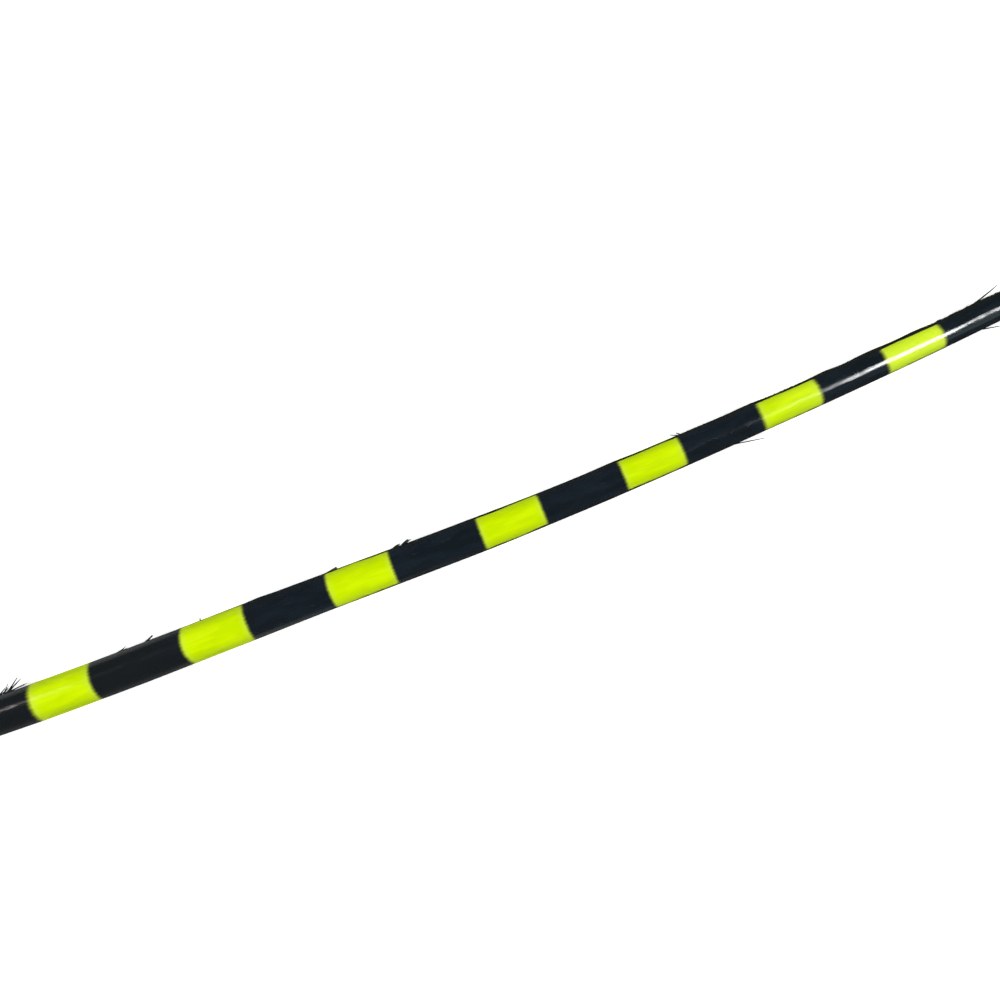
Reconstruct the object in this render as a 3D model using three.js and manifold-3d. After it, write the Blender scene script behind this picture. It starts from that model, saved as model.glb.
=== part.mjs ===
// A stripped ostrich plume: the bare shaft of the feather, painted by hand in lime and black bands,
// with a few tufts of cut barbs left along its two vane lines. It lies on its grooved underside.
// Millimetres, +Z up, +X from the hollow base of the shaft towards its tip.
import * as THREE from "three";
import { mergeVertices } from "three/addons/utils/BufferGeometryUtils.js";
import Module from "manifold-3d";

// The shaft as a whole
const LENGTH = 420;
const WIDTH = 5.52; // at its widest, a little above the calamus, without the two vane lines
const TIP_WIDTH = 0.92;
const WIDEST_AT = 70; // distance from the base
const TAPER_POWER = 1.05; // nearly a straight taper to the tip
const CALAMUS_NARROWING = 0.14; // share of the width lost from the widest place down to the base
const SWEEP = 62.6; // how far the tip swings sideways from the line of the base
const SWEEP_POWER = 3; // straight at the base, bending more and more towards the tip
const SWAY = 0.22; // height of a slight S-bend, greatest at SWAY_AT and fading out to both sides
const SWAY_AT = 94;
const SWAY_LENGTH = 88;
const SWAY_FADE = 60;

// The cross-section
const HALF_HEIGHT_SHARE = 0.93; // half height over half width, before the underside is flattened
const SQUARENESS = 2.3; // 2 is an ellipse, more is boxier
const FLAT_SHARE = 0.18; // how much of the half height the flat underside takes away
const GROOVE_SHARE = 0.42; // depth of the groove in the underside, over the half height
const GROOVE_HALF_ANGLE = Math.PI / 10;
const RIDGE = 0.115; // the vane line stands proud of the flank by this at the widest place
const RIDGE_HALF_ANGLE = 0.2;
const GROOVE_STARTS = 22; // the round calamus ends here and the grooved shaft begins
const GROOVE_FULL = 36;

// The two ends
const BASE_DOME = 5;
const TIP_DOME = 1.6;
const DOME_BLUNTNESS = 0.95; // 1 closes to a point
const NAVEL_DEPTH = 0.9; // the pit at the very base, where the feather was fed

// The painted bands: start and length of each lime one, measured from the base; the rest is black
const LIME_AT_BASE = [25.0, 9.9];
const LIME_SEEN = [
  [50.6, 9.7],
  [74.6, 10.35],
  [97.9, 10.2],
  [122.0, 9.95],
  [144.9, 9.7],
  [167.2, 9.65],
  [187.5, 9.6],
];
const NEXT_PITCH = 21; // from one lime band to the next, past the ones listed
const PITCH_SHRINK = 0.975;
const BLACK_TIP = 16;

// The tufts of cut barbs: distance from the base, side (+1 is +Y), length, and lean in degrees from the
// shaft's own direction, so that more than 90 leans back
const TUFTS_SEEN = [
  [46.2, 1, 2.0, 32],
  [47.2, 1, 3.2, 28],
  [64.8, 1, 1.6, 19],
  [69.2, 1, 1.8, 22],
  [98.0, 1, 2.0, 13],
  [108.9, 1, 1.2, 17],
  [110.2, 1, 1.7, 15],
  [155.4, 1, 0.9, 135],
  [162.0, -1, 5.0, 13],
  [203.1, 1, 5.2, 11],
  [203.0, -1, 3.6, 15],
];
const NEXT_TUFT = 218;
const TUFT_SPACING = 8.5;
const TUFT_LENGTHS = [1.4, 2.6, 1.1, 3.2, 1.8];
const TUFT_LEAN = 20;
const TUFT_RADIUS = 0.32;
const TUFT_ROOT = 0.5; // sunk this far into the shaft
const TUFT_LIFT = 8; // degrees up from the level

// Facets
const SIDES = 20;
const TUFT_SIDES = 5;
const RINGS_PER_BAND = 2;
const DOME_STEPS = [0, 0.12, 0.32, 0.62, 1];

const LIME = new THREE.Color("#d0ee06");
const BLACK = new THREE.Color("#18202a");

const { degToRad, lerp, smoothstep } = THREE.MathUtils;
const wasm = await Module();
wasm.setup();

// Form of the shaft at a distance from its base

function halfWidth(x) {
  if (x < WIDEST_AT) {
    const back = (WIDEST_AT - x) / WIDEST_AT;
    return (WIDTH / 2) * (1 - CALAMUS_NARROWING * back ** 2);
  }
  const along = (x - WIDEST_AT) / (LENGTH - WIDEST_AT);
  return lerp(WIDTH, TIP_WIDTH, along ** TAPER_POWER) / 2;
}

function domeShare(x) {
  const fromEnd = Math.min(x / BASE_DOME, (LENGTH - x) / TIP_DOME, 1);
  return Math.sqrt(1 - (DOME_BLUNTNESS * (1 - fromEnd)) ** 2);
}

function grooveShare(x) {
  return smoothstep(x, GROOVE_STARTS, GROOVE_FULL);
}

function centreHeight(x) {
  return halfWidth(x) * HALF_HEIGHT_SHARE * (1 - FLAT_SHARE * grooveShare(x));
}

function swing(x) {
  const fromSway = x - SWAY_AT;
  const fade = Math.exp(-((fromSway / SWAY_FADE) ** 2));
  const sway = SWAY * Math.cos((2 * Math.PI * fromSway) / SWAY_LENGTH) * fade;
  return SWEEP * (x / LENGTH) ** SWEEP_POWER + sway;
}

function spine(x) {
  return new THREE.Vector3(x, swing(x), centreHeight(x));
}

// Angle of the shaft's direction in plan
function heading(x) {
  return Math.atan(swing(x + 0.5) - swing(x - 0.5));
}

function across(x) {
  return new THREE.Vector3(-Math.sin(heading(x)), Math.cos(heading(x)), 0);
}

function signedPower(value, power) {
  return Math.sign(value) * Math.abs(value) ** power;
}

// A bump of height 1 at the centre angle that fades out at the half angle
function bump(angle, centre, halfAngle) {
  return 1 - smoothstep(Math.abs(angle - centre), 0, halfAngle);
}

// A point of the skin: around is 0 on top, a quarter turn on the +Y flank, half a turn underneath
function skinPoint(x, around) {
  const half = halfWidth(x);
  const high = half * HALF_HEIGHT_SHARE;
  const groove = grooveShare(x);
  const ridge = RIDGE * groove * (half / (WIDTH / 2));
  const flank = around < Math.PI ? Math.PI / 2 : (3 * Math.PI) / 2;
  let side = half * signedPower(Math.sin(around), 2 / SQUARENESS);
  side += Math.sign(side) * ridge * bump(around, flank, RIDGE_HALF_ANGLE);
  let up = high * signedPower(Math.cos(around), 2 / SQUARENESS);
  up = Math.max(up, -centreHeight(x));
  up += GROOVE_SHARE * high * groove * bump(around, Math.PI, GROOVE_HALF_ANGLE);
  const dome = domeShare(x);
  return spine(x)
    .addScaledVector(across(x), side * dome)
    .add(new THREE.Vector3(0, 0, up * dome));
}

// Bands and rings

function limeBands() {
  const bands = [LIME_AT_BASE, ...LIME_SEEN];
  let [start, length] = bands.at(-1);
  let pitch = NEXT_PITCH;
  while (start + pitch + length < LENGTH - BLACK_TIP) {
    start += pitch;
    length *= PITCH_SHRINK;
    pitch *= PITCH_SHRINK;
    bands.push([start, length]);
  }
  return bands;
}

// Where the rings of the shaft stand: close together on the domes, then so many to each band
function ringPlaces(bands) {
  const edges = [BASE_DOME, ...bands.flatMap(([start, length]) => [start, start + length])];
  edges.push(LENGTH - TIP_DOME);
  const between = edges.slice(1).flatMap((edge, i) =>
    Array.from({ length: RINGS_PER_BAND }, (_, k) => lerp(edges[i], edge, (k + 1) / RINGS_PER_BAND)),
  );
  const base = DOME_STEPS.map((step) => step * BASE_DOME);
  const tip = DOME_STEPS.map((step) => LENGTH - step * TIP_DOME).reverse();
  return [...base, ...between, ...tip.slice(1)];
}

// Solids

function solidOf(geometry) {
  const bare = geometry.clone();
  bare.deleteAttribute("normal");
  bare.deleteAttribute("uv");
  const merged = mergeVertices(bare, 1e-3);
  return new wasm.Manifold(
    new wasm.Mesh({
      numProp: 3,
      vertProperties: merged.attributes.position.array,
      triVerts: new Uint32Array(merged.index.array),
    }),
  );
}

// A plain closed cylinder whose rings are moved to their places and given the shaft's section
function shaftSolid(places) {
  const rings = places.length - 1;
  const geometry = new THREE.CylinderGeometry(1, 1, rings, SIDES, rings);
  const position = geometry.attributes.position;
  const start = new THREE.Vector3();
  for (let i = 0; i < position.count; i++) {
    start.fromBufferAttribute(position, i);
    const x = places[Math.round(rings / 2 - start.y)];
    const onAxis = Math.hypot(start.x, start.z) < 0.5;
    const around = (Math.atan2(start.x, start.z) + 2 * Math.PI) % (2 * Math.PI);
    const point = onAxis ? spine(x) : skinPoint(x, around);
    if (onAxis && x === 0) point.x += NAVEL_DEPTH;
    position.setXYZ(i, point.x, point.y, point.z);
  }
  return solidOf(geometry);
}

function tuftPlaces() {
  const tufts = [...TUFTS_SEEN];
  for (let x = NEXT_TUFT; x < LENGTH - BLACK_TIP; x += TUFT_SPACING) {
    const order = tufts.length;
    const size = (2 * halfWidth(x)) / WIDTH + 0.3;
    const length = size * TUFT_LENGTHS[order % TUFT_LENGTHS.length];
    tufts.push([x, order % 3 ? 1 : -1, length, TUFT_LEAN]);
  }
  return tufts;
}

// A tapered spike that grows out of the vane line
function tuftSolid([x, side, length, lean]) {
  const reach = length + TUFT_ROOT;
  const geometry = new THREE.ConeGeometry(TUFT_RADIUS, reach, TUFT_SIDES);
  geometry.translate(0, reach / 2 - TUFT_ROOT, 0);
  const plan = heading(x) + side * degToRad(lean);
  const lift = Math.tan(degToRad(TUFT_LIFT));
  const direction = new THREE.Vector3(Math.cos(plan), Math.sin(plan), lift);
  const turn = new THREE.Quaternion().setFromUnitVectors(
    new THREE.Vector3(0, 1, 0),
    direction.normalize(),
  );
  const root = skinPoint(x, side > 0 ? Math.PI / 2 : (3 * Math.PI) / 2);
  geometry.applyQuaternion(turn).translate(root.x, root.y, root.z);
  return solidOf(geometry);
}

function geometryOf(solid) {
  const mesh = solid.getMesh();
  const geometry = new THREE.BufferGeometry();
  geometry.setAttribute("position", new THREE.BufferAttribute(mesh.vertProperties, 3));
  geometry.setIndex(new THREE.BufferAttribute(mesh.triVerts, 1));
  return geometry.toNonIndexed();
}

// Gives each facet the colour of the band that its middle lies in
function paintBands(geometry, bands) {
  const position = geometry.attributes.position;
  const colours = [];
  for (let i = 0; i < position.count; i += 3) {
    const middle = (position.getX(i) + position.getX(i + 1) + position.getX(i + 2)) / 3;
    const inLime = bands.some(([start, length]) => middle > start && middle < start + length);
    const colour = inLime ? LIME : BLACK;
    for (let corner = 0; corner < 3; corner++) colours.push(colour.r, colour.g, colour.b);
  }
  geometry.setAttribute("color", new THREE.Float32BufferAttribute(colours, 3));
}

function makeQuill() {
  const bands = limeBands();
  const tufts = tuftPlaces().map(tuftSolid);
  const solid = tufts.reduce((whole, tuft) => whole.add(tuft), shaftSolid(ringPlaces(bands)));
  const geometry = geometryOf(solid);
  paintBands(geometry, bands);
  geometry.computeVertexNormals();
  const paint = new THREE.MeshStandardMaterial({
    vertexColors: true,
    roughness: 0.35,
    metalness: 0,
  });
  const mesh = new THREE.Mesh(geometry, paint);
  mesh.name = "quill";
  return mesh;
}

// The origin is under the middle of the quill's own box, on the surface it lies on
const quill = makeQuill();
const middle = new THREE.Box3().setFromObject(quill).getCenter(new THREE.Vector3());
quill.position.set(-middle.x, -middle.y, 0);

const feather = new THREE.Group();
feather.add(quill);

export default feather;
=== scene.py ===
# %% [markdown]
# # A painted ostrich quill
# An ostrich plume is a long shaft with two loose vanes. Here the vanes have been stripped off, and the bare
# shaft has been painted by hand in lime and black bands. What is left to model is a tapering, slightly bent
# shaft with a groove underneath, its two vane lines, and the short stumps of barbs along them.
#
# The imported model gives the place and the size. It is loaded first and never moved, and its box is kept.

# %% Load the imported model
import math
import random

import bpy
import numpy as np
from mathutils import Matrix, Vector


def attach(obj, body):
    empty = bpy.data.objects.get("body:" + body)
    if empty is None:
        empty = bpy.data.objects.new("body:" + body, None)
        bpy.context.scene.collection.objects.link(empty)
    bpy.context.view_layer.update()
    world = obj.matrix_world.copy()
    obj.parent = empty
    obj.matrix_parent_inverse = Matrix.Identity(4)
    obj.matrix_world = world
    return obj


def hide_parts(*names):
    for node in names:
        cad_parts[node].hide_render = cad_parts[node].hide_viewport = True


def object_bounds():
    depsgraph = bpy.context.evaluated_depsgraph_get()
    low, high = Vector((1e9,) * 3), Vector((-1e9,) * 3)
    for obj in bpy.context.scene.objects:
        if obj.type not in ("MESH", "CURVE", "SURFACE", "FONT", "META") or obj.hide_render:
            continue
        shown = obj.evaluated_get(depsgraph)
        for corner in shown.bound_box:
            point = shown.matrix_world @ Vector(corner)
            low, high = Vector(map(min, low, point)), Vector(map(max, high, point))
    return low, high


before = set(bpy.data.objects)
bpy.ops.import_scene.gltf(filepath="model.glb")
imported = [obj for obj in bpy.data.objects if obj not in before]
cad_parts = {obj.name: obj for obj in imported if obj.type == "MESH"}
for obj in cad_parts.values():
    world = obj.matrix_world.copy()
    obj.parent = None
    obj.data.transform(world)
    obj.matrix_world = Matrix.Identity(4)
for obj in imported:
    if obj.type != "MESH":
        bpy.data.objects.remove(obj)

cad_low, cad_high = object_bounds()
cad_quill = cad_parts["quill"]
print("packed box in mm:", [round(1000 * (high - low), 1) for low, high in zip(cad_low, cad_high)])

# %% [markdown]
# ## The line of the shaft
# Everything on the quill is placed by its distance from the base, in millimetres. The shaft leaves the base
# straight and bends more and more towards the tip, which a third power gives with one number. A grown shaft
# is never that regular, so a slight S-bend is laid over it, a wave that fades out to both sides. The width is
# greatest a little above the hollow calamus and then falls almost evenly to the tip.

# %% Sizes of the quill, and where it lies
MM = 0.001
LENGTH = 420
SWEEP = 62.6
SWEEP_POWER = 3
SWAY, SWAY_AT, SWAY_LENGTH, SWAY_FADE = 0.22, 94, 88, 60  # the S-bend
WIDTH = 5.52  # without the vane lines
TIP_WIDTH = 0.92
WIDEST_AT = 70
TAPER_POWER = 1.05
CALAMUS_NARROWING = 0.14
HALF_HEIGHT_SHARE = 0.93  # half height over half width
FLAT_SHARE = 0.18  # part of the half height that the flat underside takes away
GROOVE_STARTS = 22
GROOVE_FULL = 36
END_REACH = 0.5  # packed points this close to the end give the place of the base


def spine_y(x):
    from_wave = x - SWAY_AT
    wave = np.cos(2 * math.pi * from_wave / SWAY_LENGTH) * np.exp(-((from_wave / SWAY_FADE) ** 2))
    return SWEEP * (x / LENGTH) ** SWEEP_POWER + SWAY * wave


base_end = [v.co for v in cad_quill.data.vertices if v.co.x < cad_low[0] + END_REACH * MM]
base_y = sum(co.y for co in base_end) / len(base_end) - spine_y(0) * MM
BASE = Vector((cad_low[0], base_y, 0))


def slope(x):
    return spine_y(x + 0.5) - spine_y(x - 0.5)


def half_width(x):
    toward_base = WIDTH / 2 * (1 - CALAMUS_NARROWING * (np.clip(WIDEST_AT - x, 0, None) / WIDEST_AT) ** 2)
    along = np.clip((x - WIDEST_AT) / (LENGTH - WIDEST_AT), 0, 1)
    return toward_base + (TIP_WIDTH - WIDTH) / 2 * along**TAPER_POWER


def grooved(x):
    share = np.clip((x - GROOVE_STARTS) / (GROOVE_FULL - GROOVE_STARTS), 0, 1)
    return share * share * (3 - 2 * share)


def centre_height(x):
    return half_width(x) * HALF_HEIGHT_SHARE * (1 - FLAT_SHARE * grooved(x))


def foot(x):
    """The point of the floor that lies under the middle of the shaft."""
    return BASE + MM * Vector((x, spine_y(x), 0))


def middle(x):
    return foot(x) + MM * Vector((0, 0, centre_height(x)))


for end_name, end_place in (("base", 0), ("tip", LENGTH)):
    print(end_name, "at", [round(c / MM, 2) for c in foot(end_place)], "mm")

# %% [markdown]
# ## The grooved shaft
# A shaft like this could be a curve with a bevel, but a bevel can't hold a groove that fades out at one end.
# So it is modelled as by hand: one ring of points is shaped into the section of the shaft, with a flat
# underside, a groove and two vane lines, and that ring is then extruded, turned and made smaller, step by
# step, as far as the tip. Each ring is scaled about the floor below it, so that the underside stays flat on
# the floor all the way.
#
# The real shaft isn't turned on a lathe. It swells and thins a little as it grew, so the width gets a slight
# wobble from two slow waves that don't share a rhythm, and one long gentle swelling.

# %% The width as it grew
WOBBLE = 0.006
WAVES = ((5.3, 4.1, 1.0), (2.9, 3.1, 0.6))  # mm to a radian, phase, strength
SWELLING, SWELLING_AT, SWELLING_REACH = 0.018, 135, 38


def grown_half_width(x):
    """The half width with the slight swellings of a grown shaft."""
    wobble = sum(strength * math.sin(x / pace + phase) for pace, phase, strength in WAVES)
    wobble *= min(1, x / GROOVE_FULL)
    swelling = SWELLING * math.exp(-(((x - SWELLING_AT) / SWELLING_REACH) ** 2))
    return half_width(x) * (1 + WOBBLE * wobble + swelling)


print("width where the swelling is greatest:", round(2 * grown_half_width(SWELLING_AT), 2), "mm")

# %% The section, shaped from a ring
RING_POINTS = 40
GROOVE_DEPTH = 1.05
GROOVE_HALF_WIDTH = 0.95
GROOVE_LIFTS = (1.0, 0.6, 0.25)  # how much of the half width each lift takes up
FLATTENED = 1.2  # points below this many times the flat level are pressed flat
VANE_LINE = 0.115  # how far a vane line stands out of the flank
RIM_REACH = 0.04  # points this close to the widest place make the vane line
DRAWN_LARGE = 1.018  # the rounding later on draws the ring in by about this much


def edit_points(choose):
    """Selects the points of the mesh in hand that the test chooses, and no others."""
    bpy.ops.mesh.select_all(action="DESELECT")
    bpy.ops.object.mode_set(mode="OBJECT")
    for vertex in bpy.context.object.data.vertices:
        vertex.select = choose(vertex.co)
    bpy.ops.object.mode_set(mode="EDIT")


def add_ring(x):
    """A ring across the shaft, as wide as the shaft is there, with its lowest point on the floor."""
    radius = grown_half_width(x) * DRAWN_LARGE * MM
    centre = foot(x) + Vector((0, 0, radius * HALF_HEIGHT_SHARE))
    bpy.ops.mesh.primitive_circle_add(
        vertices=RING_POINTS, radius=radius, location=centre, rotation=(0, math.pi / 2, 0)
    )
    if bpy.context.object.mode == "OBJECT":
        bpy.ops.object.transform_apply()
        bpy.ops.object.mode_set(mode="EDIT")
    bpy.ops.transform.resize(value=(1, 1, HALF_HEIGHT_SHARE), center_override=centre)
    bpy.ops.transform.rotate(value=-math.atan(slope(x)), orient_axis="Z", center_override=centre)


bpy.ops.object.select_all(action="DESELECT")
add_ring(GROOVE_FULL)
shaft = bpy.context.object
shaft.name = "shaft"
section_foot = foot(GROOVE_FULL)
flat_level = FLAT_SHARE * HALF_HEIGHT_SHARE * half_width(GROOVE_FULL) * MM

edit_points(lambda co: co.z < flat_level * FLATTENED)
bpy.ops.transform.resize(value=(1, 1, 0), center_override=section_foot + Vector((0, 0, flat_level)))
bpy.ops.mesh.select_all(action="SELECT")
bpy.ops.transform.translate(value=(0, 0, -flat_level))

for lift_share in GROOVE_LIFTS:
    reach = lift_share * GROOVE_HALF_WIDTH * MM
    edit_points(lambda co: co.z < centre_height(GROOVE_FULL) * MM and abs(co.y - section_foot.y) < reach)
    bpy.ops.transform.translate(value=(0, 0, GROOVE_DEPTH / len(GROOVE_LIFTS) * MM))

for side in (1, -1):
    rim = side * grown_half_width(GROOVE_FULL) * DRAWN_LARGE * MM
    edit_points(lambda co: abs(co.y - section_foot.y - rim) < RIM_REACH * MM)
    bpy.ops.transform.translate(value=(0, side * VANE_LINE * MM, 0))
print("section of", len(shaft.data.vertices), "points")

# %% [markdown]
# The ring is now taken along the shaft. Three helpers do it: one makes a single step, one makes even steps
# over a stretch, and one goes over a rounded end, where the ring is drawn in a little more at each stop.

# %% From the section to the tip
RING_SPACING = 2.4
TIP_DOME = 1.6
DOME_BLUNTNESS = 0.95
DOME_STEPS = (0.62, 0.32, 0.12, 0.0)


def step_ring(start, end):
    """Extrudes the selected ring from one distance to another, turns it and scales it."""
    bpy.ops.mesh.extrude_region_move(TRANSFORM_OT_translate={"value": foot(end) - foot(start)})
    turn = math.atan(slope(end)) - math.atan(slope(start))
    bpy.ops.transform.rotate(value=-turn, orient_axis="Z", center_override=foot(end))
    growth = grown_half_width(end) / grown_half_width(start)
    bpy.ops.transform.resize(value=(growth,) * 3, center_override=foot(end))


def shrink_ring(share, x):
    bpy.ops.transform.resize(value=(share,) * 3, center_override=middle(x))


def step_along(start, end):
    """Takes the ring along a stretch in even steps, and gives back how many."""
    steps = round(abs(end - start) / RING_SPACING)
    places = np.linspace(start, end, steps + 1)
    for here, there in zip(places, places[1:]):
        step_ring(here, there)
    return steps


def dome_share(from_end):
    return math.sqrt(1 - (DOME_BLUNTNESS * (1 - min(from_end, 1))) ** 2)


def step_over_dome(start, stops):
    """Takes the ring over a rounded end."""
    drawn = 1.0
    for step, stop in zip(DOME_STEPS, stops):
        step_ring(start, stop)
        shrink_ring(dome_share(step) / drawn, stop)
        start, drawn = stop, dome_share(step)


bpy.ops.mesh.select_all(action="SELECT")
rings = step_along(GROOVE_FULL, LENGTH - TIP_DOME)
step_over_dome(LENGTH - TIP_DOME, [LENGTH - step * TIP_DOME for step in DOME_STEPS])
bpy.ops.mesh.extrude_region_move()
bpy.ops.mesh.merge(type="CENTER")
print("rings to the tip:", rings + len(DOME_STEPS))

# %% [markdown]
# ## The calamus
# The bottom of a feather is a plain round tube, the calamus, with a small pit at its end where the growing
# feather was fed. It starts as a second ring, which is extruded the other way. Two open loops are then left,
# one round and one grooved, and a bridge between them lets the groove fade in as it does on a real shaft.

# %% From the calamus to its pit, and the bridge to the groove
BASE_DOME = 5
PIT_DEPTH = 0.9
PIT_RIM, PIT_FLOOR = 0.7, 0.5  # how far the ring is drawn in at the rim, and again at the floor
BRIDGE_CUTS = 6

bpy.ops.mesh.select_all(action="DESELECT")
add_ring(GROOVE_STARTS)
step_along(GROOVE_STARTS, BASE_DOME)
step_over_dome(BASE_DOME, [step * BASE_DOME for step in DOME_STEPS])
bpy.ops.mesh.extrude_region_move()
shrink_ring(PIT_RIM, 0)
bpy.ops.mesh.extrude_region_move(TRANSFORM_OT_translate={"value": (PIT_DEPTH * MM, 0, 0)})
shrink_ring(PIT_FLOOR, 0)
bpy.ops.mesh.extrude_region_move()
bpy.ops.mesh.merge(type="CENTER")

bpy.ops.mesh.select_all(action="DESELECT")
bpy.ops.mesh.select_mode(type="EDGE")
bpy.ops.mesh.select_non_manifold(extend=False)
bpy.ops.mesh.bridge_edge_loops(number_cuts=BRIDGE_CUTS, interpolation="SURFACE")
bpy.ops.mesh.select_mode(type="VERT")
bpy.ops.mesh.select_all(action="SELECT")
bpy.ops.mesh.normals_make_consistent(inside=False)
bpy.ops.object.mode_set(mode="OBJECT")
print("shaft mesh:", len(shaft.data.polygons), "faces")

# %% [markdown]
# A Subdivision Surface rounds the facets between the rings. It is applied, because the next steps work on the
# finished points.

# %% Round the shaft
rounding = shaft.modifiers.new("rounding", "SUBSURF")
rounding.levels = 1
rounding.render_levels = 1
bpy.ops.object.modifier_apply(modifier=rounding.name)
bpy.ops.object.shade_smooth()
print("rounded shaft:", len(shaft.data.polygons), "faces")

# %% [markdown]
# Where barbs were torn off, the vane line on the +Y side stands out a little or is nicked. Each such place is
# pushed out or in with proportional editing: the points on the vane line move, and the points around them
# follow less and less. Farther on, bumps and nicks follow in turn and get smaller with the shaft.

# %% Bumps and nicks along one vane line
VANE_BUMPS = (
    # from base, height, half length
    (88.0, 0.09, 1.2),
    (144.0, 0.09, 2.4),
    (166.5, 0.11, 1.7),
    (172.0, -0.11, 2.4),
    (179.2, 0.11, 1.4),
    (182.0, -0.09, 1.2),
    (186.0, 0.12, 2.2),
    (193.5, 0.09, 2.2),
    (198.4, -0.14, 2.0),
    (204.1, 0.14, 1.7),
)
NEXT_BUMP = 211
BUMP_SPACING = 5.2
BUMP_HEIGHTS = (-0.08, 0.10, -0.05, 0.12, 0.06)
BUMP_HALF_LENGTH = 1.6
SMOOTH_TIP = 20  # no bumps this close to the tip
LEAST_SIZE = 0.3  # what is added to the share of the width, so that small things don't vanish
POINT_REACH = 0.7


def outward(x, side=1):
    """The level direction out of the shaft's flank."""
    return side * Vector((-slope(x), 1, 0)).normalized()


def size_at(x):
    """How large bumps and tufts are at a place."""
    return 2 * half_width(x) / WIDTH + LEAST_SIZE


bumps = list(VANE_BUMPS)
for order, bump_place in enumerate(np.arange(NEXT_BUMP, LENGTH - SMOOTH_TIP, BUMP_SPACING)):
    bump_height = size_at(bump_place) * BUMP_HEIGHTS[order % len(BUMP_HEIGHTS)]
    bumps.append((bump_place, bump_height, BUMP_HALF_LENGTH))

bpy.ops.object.mode_set(mode="EDIT")
for bump_place, bump_height, half_length in bumps:
    bump_root = middle(bump_place) + outward(bump_place) * half_width(bump_place) * MM
    edit_points(lambda co: (co - bump_root).length < POINT_REACH * MM)
    bpy.ops.transform.translate(
        value=outward(bump_place) * bump_height * MM,
        use_proportional_edit=True,
        proportional_edit_falloff="SMOOTH",
        proportional_size=2 * half_length * MM,
    )
bpy.ops.object.mode_set(mode="OBJECT")
print(len(bumps), "bumps and nicks")

# %% [markdown]
# ## Where the paint goes
# The bands follow the shaft, not the room, so the paint can't be placed by plain coordinates. Each point of
# the mesh is given the place that it would have on a straightened shaft, and how deep it lies inside a lime
# band. The paint then reads these as attributes, and no picture or unwrapped map is needed.

# %% The bands
LIME_BANDS = (
    # from base, length, how far the black runs in at both flanks, at the start and at the end
    (25.0, 9.9, 0.1, 0.0),
    (50.6, 9.7, 0.15, -0.15),
    (74.6, 10.35, 0.4, 0.0),
    (97.9, 10.2, 0.1, 0.0),
    (122.0, 9.95, 0.0, 0.0),
    (144.9, 9.7, 0.0, 0.0),
    (167.2, 9.65, 0.1, 0.1),
    (187.5, 9.6, 0.1, 0.2),
)
NEXT_PITCH = 21
PITCH_SHRINK = 0.975
NEXT_BOW = 0.1
BLACK_TIP = 16

lime_bands = list(LIME_BANDS)
band_start, band_length = LIME_BANDS[-1][:2]
pitch = NEXT_PITCH
while band_start + pitch + band_length < LENGTH - BLACK_TIP:
    band_start += pitch
    band_length *= PITCH_SHRINK
    pitch *= PITCH_SHRINK
    lime_bands.append((band_start, band_length, NEXT_BOW, NEXT_BOW))


def depth_in_lime(x, across=0.0):
    """How far inside a lime band, in mm. In the black it is negative."""
    depths = []
    for start, length, start_bow, end_bow in lime_bands:
        from_start = x - start - start_bow * across**2
        to_end = start + length - x - end_bow * across**2
        depths.append(np.minimum(from_start, to_end))
    return np.max(depths, axis=0)


print(len(lime_bands), "lime bands, the last from", round(band_start, 1), "mm")

# %% [markdown]
# Two more numbers are written beside the depth. One is how soft the nearest band edge is: the brush left a
# blurred edge near the base and again further on, and a crisp one between. The other is how far a point lies
# out on the flank, where the lime is given painted shade.

# %% The straightened place of every point
EDGE_SOFTNESS = (  # at, half width in mm
    (50, 62, 75, 98, 150, 168, 190),
    (0.62, 0.46, 0.47, 0.40, 0.40, 0.52, 0.52),
)
CLOSING_IN = 8  # rounds in which the nearest place on the spine is found


def straightened(points):
    """Distance from the base and offset to the +Y side, in mm, of points in mm from the base."""
    x = np.clip(points[:, 0], 0, LENGTH)
    for _ in range(CLOSING_IN):
        ahead, beside = points[:, 0] - x, points[:, 1] - spine_y(x)
        x = np.clip(x + (ahead + slope(x) * beside) / (1 + slope(x) ** 2), 0, LENGTH)
    ahead, beside = points[:, 0] - x, points[:, 1] - spine_y(x)
    return x, (beside - slope(x) * ahead) / np.sqrt(1 + slope(x) ** 2)


def write_attribute(mesh, name, kind, values):
    attribute = mesh.attributes.new(name, kind, "POINT")
    field = "vector" if kind == "FLOAT_VECTOR" else "value"
    attribute.data.foreach_set(field, np.asarray(values, dtype=np.float32).ravel())


points = np.empty(3 * len(shaft.data.vertices), dtype=np.float32)
shaft.data.vertices.foreach_get("co", points)
points = (points.reshape(-1, 3) - np.array(BASE)) / MM
along, beside = straightened(points)
raised = points[:, 2] - centre_height(along)
across = beside / half_width(along)

write_attribute(shaft.data, "straight", "FLOAT_VECTOR", np.stack([along, beside, raised], axis=1))
write_attribute(shaft.data, "lime_depth", "FLOAT", depth_in_lime(along, across))
write_attribute(shaft.data, "softness", "FLOAT", np.interp(along, *EDGE_SOFTNESS))
write_attribute(shaft.data, "flank", "FLOAT", np.abs(across))
print("numbers written on", len(points), "points")
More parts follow.
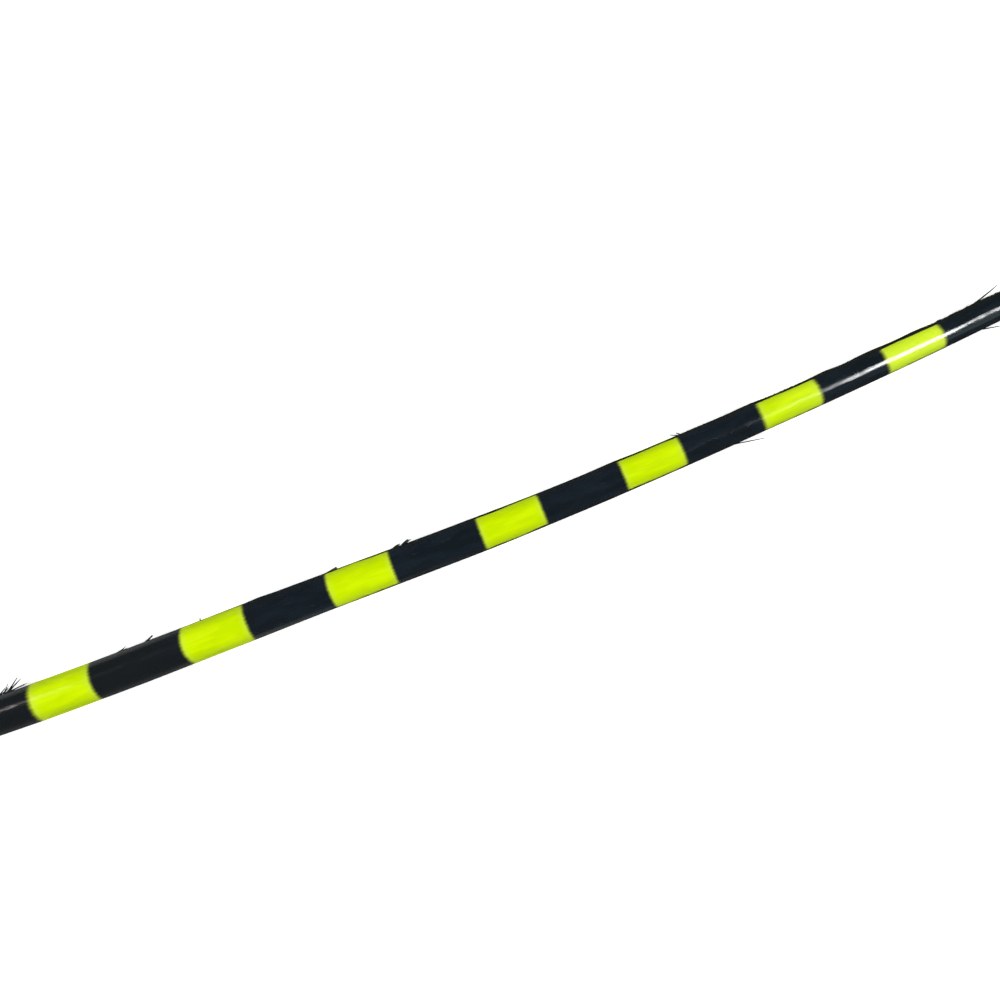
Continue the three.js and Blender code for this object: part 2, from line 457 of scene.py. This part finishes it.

# %% [markdown]
# The last two numbers belong to the edges of the shaft. A thin dark line runs along the vane lines: partly
# the dark keratin of the vane lines showing through, partly painted shade, as it grows broader along the +Y
# side, the flank turned from the light, and ends a little below the middle of the flank. Near the base the
# black paint is worn grey towards the edges.

# %% Where the dark vane lines and their painted shade show, and where the black is worn
UPPER_LINE_AND_SHADE = (  # at, where the dark line and its painted shade begin over the half width, on the +Y side
    (45, 75, 98, 125, 150, 172, 190, 205),
    (1.10, 1.07, 1.01, 0.99, 0.955, 0.915, 0.86, 0.82),
)
LOWER_LINE_AND_SHADE = ((60, 110, 200), (1.10, 0.99, 0.985))  # the same on the -Y side
LINE_AND_SHADE_FOOT = 0.25  # how far below the middle it ends, over the half height
FOOT_SHARPNESS = 0.5
WORN_FROM = 0.78  # the black is worn from here to the edge, over the half width
UPPER_WEAR = ((45, 70, 80), (0.7, 0.7, 0.0))  # at, how much is worn
LOWER_WEAR = ((70, 80, 100, 125), (0.3, 0.6, 0.35, 0.0))

past_upper = across - np.interp(along, *UPPER_LINE_AND_SHADE)
past_lower = -across - np.interp(along, *LOWER_LINE_AND_SHADE)
above_foot = raised / (half_width(along) * HALF_HEIGHT_SHARE) + LINE_AND_SHADE_FOOT
# painted shade: the dark line spreads over the flank where it turns from the light
line_and_shade_depth = np.minimum(np.maximum(past_upper, past_lower), FOOT_SHARPNESS * above_foot)

to_rim = np.clip((np.abs(across) - WORN_FROM) / (1 - WORN_FROM), 0, 1)
wear = to_rim * np.where(across > 0, np.interp(along, *UPPER_WEAR), np.interp(along, *LOWER_WEAR))

write_attribute(shaft.data, "edge_line_and_shade", "FLOAT", line_and_shade_depth)
write_attribute(shaft.data, "worn", "FLOAT", wear)
print("points in a vane line:", int((line_and_shade_depth > 0).sum()), "and worn:", int((wear > 0).sum()))

# %% [markdown]
# ## The paint
# The shaft is keratin, the stuff of nails, which has fine fibres along its length. Two acrylic paints lie on
# it, a neon lime and a blue-black. Both are satin: they hide the colour of the keratin and keep its fibres,
# which show as faint streaks, soften the ends of the bands and break up the gloss.

# %% Helpers for materials


def linear(hex_colour):
    """An sRGB hex colour as the linear RGBA that the shader takes."""
    parts = [int(hex_colour[i : i + 2], 16) / 255 for i in (1, 3, 5)]
    return [c / 12.92 if c <= 0.04045 else ((c + 0.055) / 1.055) ** 2.4 for c in parts] + [1]


def add_node(tree, kind, inputs=(), out=0, **settings):
    """Adds a shader node, sets its properties, sets or links its inputs, and gives back an output."""
    node = tree.nodes.new("ShaderNode" + kind)
    for name, value in settings.items():
        setattr(node, name, value)
    for key, value in dict(inputs).items():
        if isinstance(value, bpy.types.NodeSocket):
            tree.links.new(value, node.inputs[key])
        else:
            node.inputs[key].default_value = value
    return node.outputs[out]


def new_material(name):
    material = bpy.data.materials.new(name)
    material.use_nodes = True
    material.node_tree.nodes.remove(material.node_tree.nodes["Principled BSDF"])
    return material, material.node_tree


# A MapRange takes a value as input 0, turns the range from 1 to 2 into the range from 3 to 4, and without
# those two gives 0 to 1. A colour Mix takes its share as input 0 and its two colours as 6 and 7.
SMOOTH = {"interpolation_type": "SMOOTHSTEP"}
COLOUR = {"data_type": "RGBA", "out": 2}
print("helpers ready")


# %% [markdown]
# Four patterns make up the detail, each a noise that is stretched along the shaft to the size of the real
# thing: the fibres, patches where the paint lies thicker, shallow dents in the keratin, and scuffs in the
# black. Single fibres are finer than a pixel, so they are drawn as coarse as they need to be to show.

# %% Patterns along the shaft
PATTERNS = {
    # length and width in mm, detail, shift of the noise
    "fibres": (3.5, 0.16, 3.0, 3.0),
    "patches": (6.0, 1.6, 2.0, 11.0),
    "dents": (2.6, 1.3, 1.0, 29.0),
    "scuffs": (2.2, 0.3, 4.0, 47.0),
}

acrylic, tree = new_material("acrylic_on_keratin")
straight = add_node(tree, "Attribute", out="Vector", attribute_name="straight")
patterns = {}
for name, (length, width, detail, shift) in PATTERNS.items():
    stretch = {"Vector": straight, "Location": (shift, 0, 0), "Scale": (1 / length, 1 / width, 1 / width)}
    mapped = add_node(tree, "Mapping", stretch)
    patterns[name] = add_node(tree, "TexNoise", {"Vector": mapped, "Scale": 1.0, "Detail": detail})
print("patterns:", list(patterns))

# %% [markdown]
# The depth over the softness tells how far a point is through a band's edge, and the fibres fray it. Squaring
# the blend keeps the thin end of the lime dark, as a paint is that runs out over black.

# %% The edge between lime and black
FRAY = 1.0

lime_depth = add_node(tree, "Attribute", out="Fac", attribute_name="lime_depth")
softness = add_node(tree, "Attribute", out="Fac", attribute_name="softness")
edge = add_node(tree, "Math", {0: lime_depth, 1: softness}, operation="DIVIDE")
fibre_lift = add_node(tree, "Math", {0: patterns["fibres"], 1: 0.5}, operation="SUBTRACT")
edge = add_node(tree, "Math", {0: fibre_lift, 1: FRAY, 2: edge}, operation="MULTIPLY_ADD")
in_lime = add_node(tree, "MapRange", {0: edge, 1: -1.0, 2: 1.0}, **SMOOTH)
in_lime = add_node(tree, "Math", {0: in_lime, 1: 2.0}, operation="POWER")
print("edge nodes:", len(tree.nodes))

# %% [markdown]
# The lime is brightest where it lies thick. Fibres show in it as darker lines, and it is dusty at the rim of
# a band. On the far bands, where the bright gloss streak lies, it is made paler as painted glare, and towards
# the flanks it is darkened as painted shade.

# %% Lime
FIBRES_SHOW = 0.18
GLARE_FROM, GLARE_FULL, GLARE_SHARE = 163.0, 192.0, 0.4  # painted glare of the gloss streak: mm from the base where it begins and is full, and its strength
RIM_FROM, RIM_FULL, RIM_SHARE = 2.6, 0.5, 0.3  # depth over softness
FLANK_SHADE_FROM, FLANK_SHADE_SHARE = 0.35, 0.35  # painted shade on the flanks: where it begins over the half width, and its strength

thick = add_node(tree, "MapRange", {0: patterns["patches"], 1: 0.35, 2: 0.65}, **SMOOTH)
fibrous = add_node(tree, "MapRange", {0: patterns["fibres"], 1: 0.42, 2: 0.75, 4: FIBRES_SHOW}, **SMOOTH)
from_base = add_node(tree, "SeparateXYZ", {0: straight})
# painted glare: along the stretch where the bright gloss streak lies, the lime is made paler and whiter
streak_glare = add_node(tree, "MapRange", {0: from_base, 1: GLARE_FROM, 2: GLARE_FULL, 4: GLARE_SHARE}, **SMOOTH)
dusty = add_node(tree, "MapRange", {0: edge, 1: RIM_FROM, 2: RIM_FULL, 4: RIM_SHARE}, **SMOOTH)
flank = add_node(tree, "Attribute", out="Fac", attribute_name="flank")
# painted shade: the lime is darkened towards the flanks, where the shaft turns from the light
flank_shade = add_node(tree, "MapRange", {0: flank, 1: FLANK_SHADE_FROM, 2: 1.0, 4: FLANK_SHADE_SHARE}, **SMOOTH)

lime = add_node(tree, "Mix", {0: thick, 6: linear("#c8ea00"), 7: linear("#d4f404")}, **COLOUR)
lime = add_node(tree, "Mix", {0: fibrous, 6: lime, 7: linear("#b2d000")}, **COLOUR)
# painted glare of the gloss streak laid into the lime
lime = add_node(tree, "Mix", {0: streak_glare, 6: lime, 7: linear("#e0fa50")}, **COLOUR)
lime = add_node(tree, "Mix", {0: dusty, 6: lime, 7: linear("#c9d65a")}, **COLOUR)
# painted shade on the flanks of the lime
lime = add_node(tree, "Mix", {0: flank_shade, 6: lime, 7: linear("#9db600")}, **COLOUR)
print("edge and lime nodes:", len(tree.nodes))

# %% [markdown]
# The black is bluish, with fine grey scuffs. Towards the base it loses the blue, and there it is also worn
# grey along the edges.

# %% Black, and both paints together
SCUFFS_SHOW = 0.25
PLAIN_UP_TO, PLAIN_GONE, PLAIN_SHARE = 62.0, 95.0, 0.9  # mm from the base

scuffed = add_node(tree, "MapRange", {0: patterns["scuffs"], 1: 0.64, 2: 0.78, 4: SCUFFS_SHOW}, **SMOOTH)
plain_range = {0: from_base, 1: PLAIN_UP_TO, 2: PLAIN_GONE, 3: PLAIN_SHARE, 4: 0.0}
plain = add_node(tree, "MapRange", plain_range, **SMOOTH)
worn = add_node(tree, "Attribute", out="Fac", attribute_name="worn")

black = add_node(tree, "Mix", {0: thick, 6: linear("#161d22"), 7: linear("#1a222a")}, **COLOUR)
black = add_node(tree, "Mix", {0: scuffed, 6: black, 7: linear("#4a5054")}, **COLOUR)
black = add_node(tree, "Mix", {0: plain, 6: black, 7: linear("#1b1e20")}, **COLOUR)
black = add_node(tree, "Mix", {0: worn, 6: black, 7: linear("#5a5e5c")}, **COLOUR)
paint = add_node(tree, "Mix", {0: in_lime, 6: black, 7: lime}, **COLOUR)
print("paint nodes:", len(tree.nodes))

# %% [markdown]
# The dark vane lines, with the painted shade laid along them, lie over both paints and wander a little. Dents
# and fibres give a low relief, which breaks up the mirrored lights, and the gloss is a little duller where
# the paint is thick and on the lime.

# %% The vane lines and their painted shade, the relief and the gloss
WANDER = 0.2  # how far a vane line strays, over the half width
LINE_EDGE = 0.03
FIBRE_RELIEF = 0.35  # height of the fibres next to that of the dents
RELIEF = 0.035  # mm
GLOSSIEST, DULLEST, LIME_DULLER = 0.10, 0.15, 0.02  # roughness

line_and_shade_at = add_node(tree, "Attribute", out="Fac", attribute_name="edge_line_and_shade")
stray = add_node(tree, "Math", {0: patterns["patches"], 1: 0.5}, operation="SUBTRACT")
line_and_shade_at = add_node(tree, "Math", {0: stray, 1: WANDER, 2: line_and_shade_at}, operation="MULTIPLY_ADD")
dark_line_and_shade = add_node(tree, "MapRange", {0: line_and_shade_at, 1: -LINE_EDGE, 2: LINE_EDGE}, **SMOOTH)
# painted shade: the dark olive of the vane lines is also laid where the flank is in shade
paint = add_node(tree, "Mix", {0: dark_line_and_shade, 6: paint, 7: linear("#1b2019")}, **COLOUR)

heights = {0: patterns["fibres"], 1: FIBRE_RELIEF, 2: patterns["dents"]}
relief = add_node(tree, "Math", heights, operation="MULTIPLY_ADD")
bump = add_node(tree, "Bump", {"Height": relief, "Distance": RELIEF * MM, "Strength": 1.0})
gloss_range = {0: patterns["patches"], 1: 0.3, 2: 0.7, 3: GLOSSIEST, 4: DULLEST}
gloss = add_node(tree, "MapRange", gloss_range, **SMOOTH)
gloss = add_node(tree, "Math", {0: in_lime, 1: LIME_DULLER, 2: gloss}, operation="MULTIPLY_ADD")
satin = {"Base Color": paint, "Roughness": gloss, "Normal": bump, "IOR": 1.5, "Specular IOR Level": 0.5}
shader = add_node(tree, "BsdfPrincipled", satin)
tree.links.new(shader, tree.nodes["Material Output"].inputs[0])
shaft.data.materials.append(acrylic)
print("shaft nodes:", len(tree.nodes))

# %% [markdown]
# ## One barb, and many
# A stripped shaft keeps the stumps of its barbs along both vane lines, and here and there a tuft that was
# missed. A stump is a thin tapering hair. It is modelled once, a small ring extruded to a point, and then
# copied with its own length, thickness, lean and curl. There are far too many to place by hand, so the copies
# are made as arrays of points and joined in one mesh.

# %% One barb, along +X, one unit long and one unit thick
BARB_SIDES = 4
BARB_STATIONS = ((0.3, 1.0), (0.7, 0.8), (0.94, 0.5))  # place along the barb, thickness there

bpy.ops.object.select_all(action="DESELECT")
bpy.ops.mesh.primitive_circle_add(vertices=BARB_SIDES, radius=1, rotation=(0, math.pi / 2, 0))
bpy.ops.object.transform_apply()
bpy.ops.object.mode_set(mode="EDIT")
bpy.ops.mesh.select_all(action="SELECT")
bpy.ops.mesh.edge_face_add()
reached, thickness = 0.0, 1.0
for station, girth in BARB_STATIONS:
    narrowing = girth / thickness
    bpy.ops.mesh.extrude_region_move(TRANSFORM_OT_translate={"value": (station - reached, 0, 0)})
    bpy.ops.transform.resize(value=(1, narrowing, narrowing), center_override=(station, 0, 0))
    reached, thickness = station, girth
bpy.ops.mesh.extrude_region_move(TRANSFORM_OT_translate={"value": (1 - reached, 0, 0)})
bpy.ops.mesh.merge(type="CENTER")
bpy.ops.mesh.select_all(action="SELECT")
bpy.ops.mesh.normals_make_consistent(inside=False)
bpy.ops.object.mode_set(mode="OBJECT")
one_barb = bpy.context.object
barb_points = np.array([v.co for v in one_barb.data.vertices])
barb_faces = [list(p.vertices) for p in one_barb.data.polygons]
bpy.data.objects.remove(one_barb)
print("one barb:", len(barb_faces), "faces")

# %% [markdown]
# The tufts that the shaft still carries are listed by where they stand, on which side, how long they are and
# how many barbs they hold. Beyond the stretch that was looked at, they follow an even spacing with lengths in
# turn.

# %% Tufts of barbs
TUFTS = (
    # from base, side, length, barbs, radius, spread of roots, leans, curls
    (46.0, 1, 2.2, 8, 0.075, 0.6, (15, 50), (-0.1, 0.1)),
    (46.9, 1, 4.0, 4, 0.08, 0.2, (26, 34), (-0.05, 0.05)),
    (46.7, 1, 4.8, 3, 0.07, 0.2, (12, 16), (-0.12, -0.08)),
    (64.5, 1, 1.5, 4, 0.075, 0.15, (12, 18), (-0.05, 0.05)),
    (65.0, 1, 1.7, 3, 0.06, 0.2, (16, 30), (-0.2, -0.1)),
    (69.2, 1, 2.0, 7, 0.09, 0.15, (18, 25), (-0.05, 0.05)),
    (78.1, 1, 0.7, 3, 0.09, 0.15, (60, 80), (-0.05, 0.05)),
    (98.0, 1, 2.2, 16, 0.1, 0.2, (4, 15), (-0.03, 0.03)),
    (108.9, 1, 1.2, 9, 0.09, 0.25, (12, 24), (-0.05, 0.05)),
    (110.2, 1, 1.7, 10, 0.09, 0.25, (14, 26), (-0.05, 0.05)),
    (155.4, 1, 0.9, 3, 0.08, 0.1, (128, 140), (-0.05, 0.05)),
    (155.2, 1, 2.2, 1, 0.085, 0.0, (155, 156), (-0.03, -0.03)),
    (162.0, -1, 5.6, 1, 0.075, 0.0, (12.5, 12.5), (0.0, 0.0)),
    (203.1, 1, 6.2, 1, 0.14, 0.0, (10, 10), (0.05, 0.05)),
    (203.0, -1, 4.2, 1, 0.09, 0.0, (15.5, 15.5), (0.0, 0.0)),
)
NEXT_TUFT = 218
TUFT_SPACING = 8.5
TUFT_LENGTHS = (1.4, 2.6, 1.1, 3.2, 1.8)
FIRST_IN_TURN = 11  # where the count of the later tufts starts
OTHER_SIDE_EACH = 3  # so many tufts to one on the -Y side
LATER_TUFT = (4, 0.07, 0.4, (10, 30), (-0.1, 0.1))  # barbs, radius, spread of roots, leans, curls

tufts = list(TUFTS)
later_places = np.arange(NEXT_TUFT, LENGTH - BLACK_TIP, TUFT_SPACING)
for order, tuft_place in enumerate(later_places, FIRST_IN_TURN):
    tuft_side = 1 if order % OTHER_SIDE_EACH else -1
    tuft_length = size_at(tuft_place) * TUFT_LENGTHS[order % len(TUFT_LENGTHS)]
    tufts.append((tuft_place, tuft_side, tuft_length, *LATER_TUFT))
print(len(tufts), "tufts")

# %% Where every barb of a tuft grows and how it lies
TUFT_LENGTH_SHARES = (0.75, 1.0)
TUFT_RADIUS_SHARES = (0.8, 1.2)
TUFT_LIFTS = (-4, 16)  # degrees up from the level

dice = random.Random(20)
barbs = []  # from base, side, length, radius, lean, lift, curl
for tuft_place, side, length, count, radius, spread, leans, curls in tufts:
    for _ in range(count):
        barbs.append(
            (
                tuft_place + dice.uniform(-spread, spread),
                side,
                length * dice.uniform(*TUFT_LENGTH_SHARES),
                radius * dice.uniform(*TUFT_RADIUS_SHARES),
                math.radians(dice.uniform(*leans)),
                math.radians(dice.uniform(*TUFT_LIFTS)),
                dice.uniform(*curls),
            )
        )
print(len(barbs), "barbs in tufts")

# %% [markdown]
# The stumps stand close together along both vane lines. They are longer on the +Y side and in the black, and
# two waves that don't share a rhythm make the row ragged.

# %% The row of stumps on each side
STUMP_RADIUS = 0.06
STUMP_SPACING = 0.22
STUMPS_START, STUMPS_END = 42, LENGTH - 4
STUMP_LENGTHS = {1: 0.42, -1: 0.26}  # on the +Y side and on the -Y side
LEAST_RAGGED, MORE_RAGGED = 0.6, 0.7  # share of the length, and what the waves add to it
RAGGED_WAVES = (3.7, 9.1)  # mm to a radian
SHORTER_IN_LIME = 0.7
STUMP_GROWTH = ((STUMPS_START, 90, 190, LENGTH), (0.5, 0.8, 1.25, 0.5))  # at, share of the length
STUMP_SHARES = (0.7, 1.2)  # of length and of radius
STUMP_LEANS, STUMP_LIFTS, STUMP_CURLS = (8, 26), (-10, 20), (-0.1, 0.1)
SPACING_SHARES = (0.7, 1.3)

tuft_barbs = len(barbs)
for side in (1, -1):
    stump_place = STUMPS_START
    while stump_place < STUMPS_END:
        short_wave, long_wave = (stump_place / pace for pace in RAGGED_WAVES)
        ragged = 0.5 + 0.5 * math.sin(short_wave) * math.sin(long_wave + side)
        in_black = depth_in_lime(np.array(stump_place)) < 0
        length = STUMP_LENGTHS[side] * (LEAST_RAGGED + MORE_RAGGED * ragged)
        length *= (1.0 if in_black else SHORTER_IN_LIME) * np.interp(stump_place, *STUMP_GROWTH)
        barbs.append(
            (
                stump_place,
                side,
                length * dice.uniform(*STUMP_SHARES),
                STUMP_RADIUS * dice.uniform(*STUMP_SHARES),
                math.radians(dice.uniform(*STUMP_LEANS)),
                math.radians(dice.uniform(*STUMP_LIFTS)),
                dice.uniform(*STUMP_CURLS),
            )
        )
        stump_place += STUMP_SPACING * dice.uniform(*SPACING_SHARES)
print(len(barbs) - tuft_barbs, "stumps")

# %% Join the barbs in one mesh
ROOT_DEPTH = 0.12


def barb_copy(place, side, length, radius, lean, lift, curl):
    """Points of one barb, in metres: bent sideways, turned to its lean and lift, and moved to its root."""
    local = barb_points * (length + ROOT_DEPTH, radius, radius)
    local[:, 0] -= ROOT_DEPTH
    local[:, 1] += side * curl * length * barb_points[:, 0] ** 2
    heading = math.atan(slope(place)) + side * lean
    turn = Matrix.Rotation(heading, 3, "Z") @ Matrix.Rotation(-lift, 3, "Y")
    root = np.array(middle(place)) / MM + np.array(outward(place, side)) * half_width(place)
    return (local @ np.array(turn).T + root) * MM


copies = [barb_copy(*barb) for barb in barbs]
faces = [[i + n * len(barb_points) for i in face] for n in range(len(copies)) for face in barb_faces]
barb_mesh = bpy.data.meshes.new("barbs")
barb_mesh.from_pydata(np.concatenate(copies).tolist(), [], faces)
write_attribute(barb_mesh, "tip", "FLOAT", np.tile(barb_points[:, 0], len(copies)))
barb_piece = bpy.data.objects.new("barbs", barb_mesh)
bpy.context.collection.objects.link(barb_piece)
print("barbs:", len(barb_mesh.polygons), "faces")

# %% [markdown]
# Barbs are keratin too, here soaked with the black dye. They are drier and duller than the painted shaft, and
# their thin ends let some light through, so the ends are greyer.

# %% Dyed barbs
SPOT = 0.8  # size of a lighter spot in mm
THIN_END_FROM, THIN_END_SHARE = 0.5, 0.6  # over the length of the barb

dyed, tree = new_material("dyed_barb_keratin")
tip = add_node(tree, "Attribute", out="Fac", attribute_name="tip")
thin_end = add_node(tree, "MapRange", {0: tip, 1: THIN_END_FROM, 2: 1.0, 4: THIN_END_SHARE}, **SMOOTH)
where = add_node(tree, "TexCoord", out="Object")
spots = add_node(tree, "TexNoise", {"Vector": where, "Scale": 1 / (SPOT * MM), "Detail": 2.0})
spotted = add_node(tree, "MapRange", {0: spots, 1: 0.35, 2: 0.65}, **SMOOTH)
dye = add_node(tree, "Mix", {0: spotted, 6: linear("#14191d"), 7: linear("#22272a")}, **COLOUR)
dye = add_node(tree, "Mix", {0: thin_end, 6: dye, 7: linear("#565a58")}, **COLOUR)
dry = {"Base Color": dye, "Roughness": 0.6, "Specular IOR Level": 0.2}
shader = add_node(tree, "BsdfPrincipled", dry)
tree.links.new(shader, tree.nodes["Material Output"].inputs[0])
barb_mesh.materials.append(dyed)
print("barb nodes:", len(tree.nodes))

# %% [markdown]
# ## Tie the pieces to the imported body
# The quill has no joints, so both pieces ride on its one body. The shaft stands for the imported solid, which
# stays for collision and isn't shown.

# %% Ride, and hide the imported solid
for piece in (shaft, barb_piece):
    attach(piece, "root")
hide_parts("quill")
print("pieces:", shaft.name, barb_piece.name)

# %% [markdown]
# ## Floor, light and camera
# The quill lies on a plain white floor and is seen from straight above. The camera's height and turn come
# from the size of a pixel and from how the line of the base slants across the picture.

# %% The camera's place over the quill
MM_PER_PIXEL = 0.15
IMAGE_SIZE = 1000
VIEW_ANGLE = math.radians(40.1)
VIEW_CENTRE = (126.43, 5.28)  # mm from the base
VIEW_TURN = math.radians(19.61)  # how far the line of the base is turned from the level of the picture
NEAREST_SEEN = 0.01  # metres

view_point = BASE + MM * Vector((*VIEW_CENTRE, centre_height(VIEW_CENTRE[0])))
view_height = MM_PER_PIXEL * IMAGE_SIZE / 2 / math.tan(VIEW_ANGLE / 2) * MM
camera_place = view_point + Vector((0, 0, view_height))
bpy.ops.object.camera_add(location=camera_place, rotation=(0, 0, -VIEW_TURN))
camera = bpy.context.object
camera.data.angle = VIEW_ANGLE
camera.data.clip_start = NEAREST_SEEN
bpy.context.scene.camera = camera
print("camera", round(view_height / MM), "mm above the shaft")

# %% [markdown]
# The floor is matt paper with a faint grain and a glow of its own, so that it stays white right up to the
# quill and as far off as it can be seen. A glossy black shaft mirrors all that is around it, so the floor is
# kept out of its gloss, and the surroundings are white to the camera only.

# %% Floor
FLOOR_SIZE = 30  # metres
FLOOR_DROP = 0.03  # mm below the quill
PAPER_GRAIN = 3  # mm
PAPER_GLOW = 0.45
WHITE_FROM, WHITE_FULL = 0.6, 1.8  # metres off, where the lights no longer reach

bpy.ops.mesh.primitive_plane_add(size=FLOOR_SIZE, location=(0, 0, -FLOOR_DROP * MM))
floor = bpy.context.object
floor.name = "floor"
sweep_paper, tree = new_material("white_sweep_paper")
where = add_node(tree, "TexCoord", out="Object")
grain = add_node(tree, "TexNoise", {"Vector": where, "Scale": 1 / (PAPER_GRAIN * MM), "Detail": 2.0})
white = add_node(tree, "Mix", {0: grain, 6: linear("#f2f2f1"), 7: linear("#f8f8f8")}, **COLOUR)
from_middle = add_node(tree, "VectorMath", {0: where}, out="Value", operation="LENGTH")
far_glow = {0: from_middle, 1: WHITE_FROM, 2: WHITE_FULL, 3: PAPER_GLOW, 4: 1.0}
shine = add_node(tree, "MapRange", far_glow, **SMOOTH)
matt = {"Base Color": white, "Roughness": 0.9, "Specular IOR Level": 0.1}
matt.update({"Emission Color": linear("#ffffff"), "Emission Strength": shine})
shader = add_node(tree, "BsdfPrincipled", matt)
tree.links.new(shader, tree.nodes["Material Output"].inputs[0])
floor.data.materials.append(sweep_paper)
floor.visible_glossy = False
print("floor nodes:", len(tree.nodes))

# %% Surroundings
HORIZON_GLOW, ZENITH_GLOW = 0.038, 0.003
GLOW_FROM, GLOW_TO = 0.05, 0.6  # height on a unit sphere

world = bpy.data.worlds.new("studio")
bpy.context.scene.world = world
world.use_nodes = True
tree = world.node_tree
way = add_node(tree, "TexCoord", out="Generated")
skyward = add_node(tree, "SeparateXYZ", {0: way}, out=2)
fading = {0: skyward, 1: GLOW_FROM, 2: GLOW_TO, 3: HORIZON_GLOW, 4: ZENITH_GLOW}
glow = add_node(tree, "MapRange", fading, **SMOOTH)
seen = add_node(tree, "LightPath", out="Is Camera Ray")
glow = add_node(tree, "Math", {0: seen, 1: glow}, operation="MAXIMUM")
tree.links.new(glow, tree.nodes["Background"].inputs["Strength"])
tree.nodes["Background"].inputs["Color"].default_value = linear("#ffffff")
bpy.context.scene.view_settings.view_transform = "Standard"
print("world nodes:", len(tree.nodes))

# %% [markdown]
# Two large soft lights stand off the ends of the quill and do the lighting, but the gloss doesn't mirror
# them. The other lights are there for the gloss alone: two narrow ones make the bright streak on the far half
# of the shaft, a broad faint one gives that streak a soft skirt, and a small one makes the short streak at
# the base.

# %% Lights
SOFT_LIGHTS = (
    # name, ahead, beside, height, length, width, power, colour
    ("soft_light_base", -0.8, 0.0, 0.75, 0.7, 0.9, 11, "#ffffff"),
    ("soft_light_tip", 0.8, 0.0, 0.75, 0.7, 0.9, 11, "#ffffff"),
)
STREAK_LIGHTS = (
    ("streak_light_near", 0.287, -0.168, 0.6, 0.05, 0.24, 1.6, "#ffffff"),
    ("streak_light_far", 0.309, -0.105, 0.6, 0.03, 0.24, 0.65, "#ffffff"),
    ("streak_skirt_light", 0.66, -0.75, 0.6, 0.4, 0.9, 0.8, "#e7fffc"),
    ("base_streak_light", -0.452, 0.335, 0.6, 0.12, 0.05, 2.1, "#fff3f0"),
)
shaft_way = Vector((1, slope(VIEW_CENTRE[0]), 0)).normalized()
side_way = Vector((-shaft_way.y, shaft_way.x, 0))


def hang_light(name, ahead, beside, height, length, width, power, colour):
    """A rectangular light, placed in metres ahead of, beside and above the view point, turned towards it."""
    place = view_point + shaft_way * ahead + side_way * beside + Vector((0, 0, height))
    back = (place - view_point).normalized()
    wide = back.cross(shaft_way).normalized()
    turn = Matrix((wide.cross(back), wide, back)).transposed().to_4x4()
    bpy.ops.object.light_add(type="AREA")
    lamp = bpy.context.object
    lamp.name = name
    lamp.matrix_world = Matrix.Translation(place) @ turn
    lamp.data.shape = "RECTANGLE"
    lamp.data.size = length
    lamp.data.size_y = width
    lamp.data.energy = power
    lamp.data.color = linear(colour)[:3]
    return lamp


for settings in SOFT_LIGHTS:
    hang_light(*settings).visible_glossy = False
for settings in STREAK_LIGHTS:
    hang_light(*settings).visible_diffuse = False
